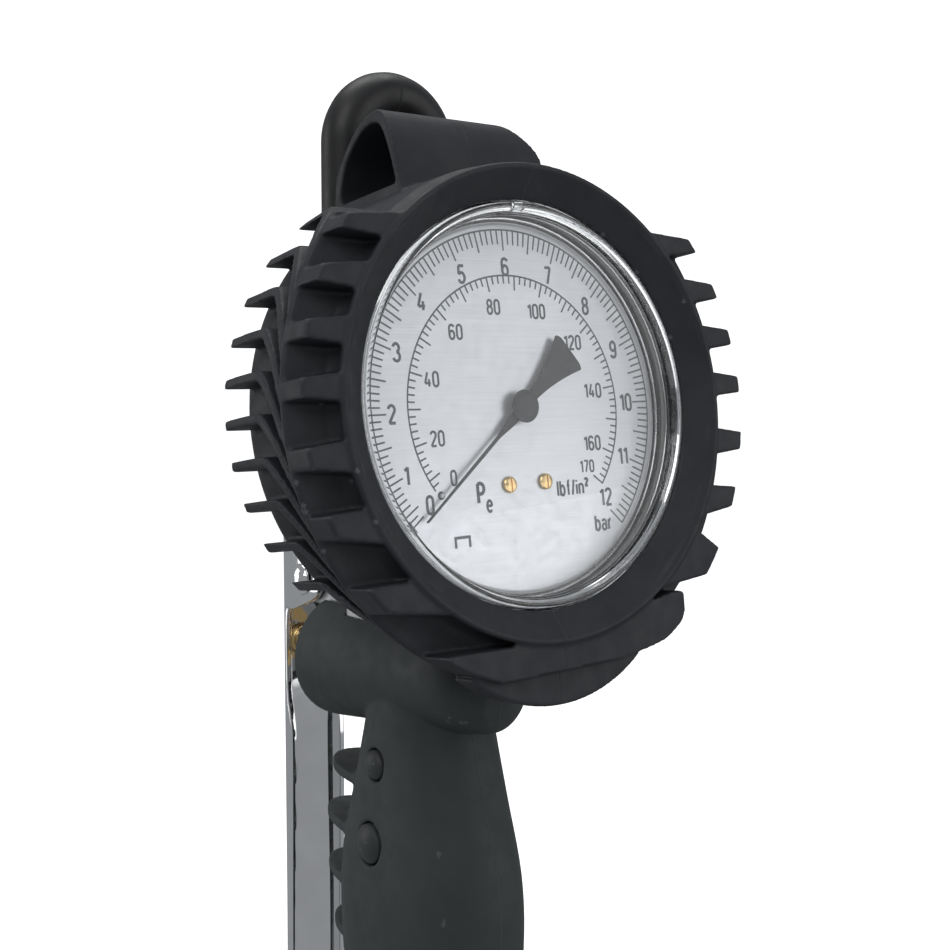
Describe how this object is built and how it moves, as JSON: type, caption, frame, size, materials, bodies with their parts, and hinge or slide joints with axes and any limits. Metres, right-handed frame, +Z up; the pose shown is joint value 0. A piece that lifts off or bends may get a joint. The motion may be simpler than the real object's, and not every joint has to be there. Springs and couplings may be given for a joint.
{
  "type": "tyre inflator gun",
  "caption": "Hand-held tyre inflator with a dial gauge in a finned rubber boot, a rubber pistol grip and a squeeze lever.",
  "frame": {"origin": "centre of the bounding box on the plane of the inlet face, which is the bottom", "axes": "+Z up along the grip, -Y towards the dial's front, +X to the right seen from the dial's front"},
  "size_m": [0.1048, 0.0989, 0.2752],
  "materials": {
    "boot_rubber": "matte blue-black moulded rubber",
    "hook_rubber": "satin black rubber coating",
    "grip_rubber": "matte grey-green black moulded rubber",
    "plug_rubber": "satin dark rubber",
    "lens_clear": "clear moulded plastic",
    "seal_rubber": "black nitrile",
    "dial_silver": "brushed silver white with dark blue-grey print",
    "pointer_black": "satin black paint",
    "steel": "plain steel",
    "brass": "machined brass",
    "chrome": "bright chrome plate",
    "cast_alloy": "die-cast, bead blasted",
    "bronze_filter": "sintered bronze"
  },
  "bodies": {
    "gun": {"gauge_boot": "boot_rubber", "hanging_hook": "hook_rubber", "gauge_case": "steel", "gauge_lens": "lens_clear", "lens_gasket": "seal_rubber", "dial_plate": "dial_silver", "dial_screw_left": "brass", "dial_screw_right": "brass", "stop_pin": "steel", "movement_front_plate": "brass", "movement_rear_plate": "brass", "movement_pillar_left": "brass", "movement_pillar_right": "brass", "hairspring": "steel", "bourdon_tube": "brass", "tube_tip": "brass", "gauge_socket": "brass", "socket_seal": "seal_rubber", "valve_body": "cast_alloy", "grip_sleeve": "grip_rubber", "grip_plug_upper_left": "plug_rubber", "grip_plug_upper_right": "plug_rubber", "grip_plug_lower_left": "plug_rubber", "grip_plug_lower_right": "plug_rubber", "lever_pin": "chrome", "valve_cartridge": "brass", "valve_spring": "steel", "plunger_seal": "seal_rubber", "inlet_fitting": "brass", "inlet_seal": "seal_rubber", "inlet_filter": "bronze_filter", "outlet_fitting": "brass", "outlet_seal": "seal_rubber", "hook_setscrew_left": "steel", "hook_setscrew_right": "steel"},
    "lever": {"trigger_lever": "chrome"},
    "plunger": {"valve_plunger": "brass", "valve_disc": "seal_rubber"},
    "sector": {"sector_gear": "brass"},
    "link": {"tube_link": "brass"},
    "needle": {"pointer": "pointer_black", "pointer_hub": "brass", "pointer_arbor": "brass"}
  },
  "joints": [
    {"name": "lever_squeeze", "type": "hinge", "parent": "gun", "child": "lever", "pos_m": [0, 0.03585, 0.164], "axis": [-1, 0, 0], "range_deg": [0, 10], "stiffness_Nm_per_rad": 2, "springref_deg": -11.46},
    {"name": "valve_press", "type": "slide", "parent": "gun", "child": "plunger", "axis": [0, -1, 0], "range_m": [0, 0.003], "deforming": ["valve_spring"]},
    {"name": "sector_turn", "type": "hinge", "parent": "gun", "child": "sector", "pos_m": [0, -0.03661, 0.185], "axis": [0, 0.9925, -0.1219], "range_deg": [-37.7, 0], "stiffness_Nm_per_rad": 0.002, "springref_deg": 28.65},
    {"name": "link_turn", "type": "hinge", "parent": "sector", "child": "link", "pos_m": [0, -0.03721, 0.18004], "axis": [0, 0.9925, -0.1219], "range_deg": [-1, 38]},
    {"name": "pointer_turn", "type": "hinge", "parent": "gun", "child": "needle", "pos_m": [0, -0.03415, 0.205], "axis": [0, 0.9925, -0.1219], "range_deg": [0, 264]}
  ],
  "couplings": [
    {"joint": "valve_press", "follows": "lever_squeeze", "m_per_rad": 0.01719},
    {"joint": "pointer_turn", "follows": "sector_turn", "ratio": -7},
    {"joint": "link_turn", "follows": "sector_turn", "ratio": -0.9724}
  ]
}
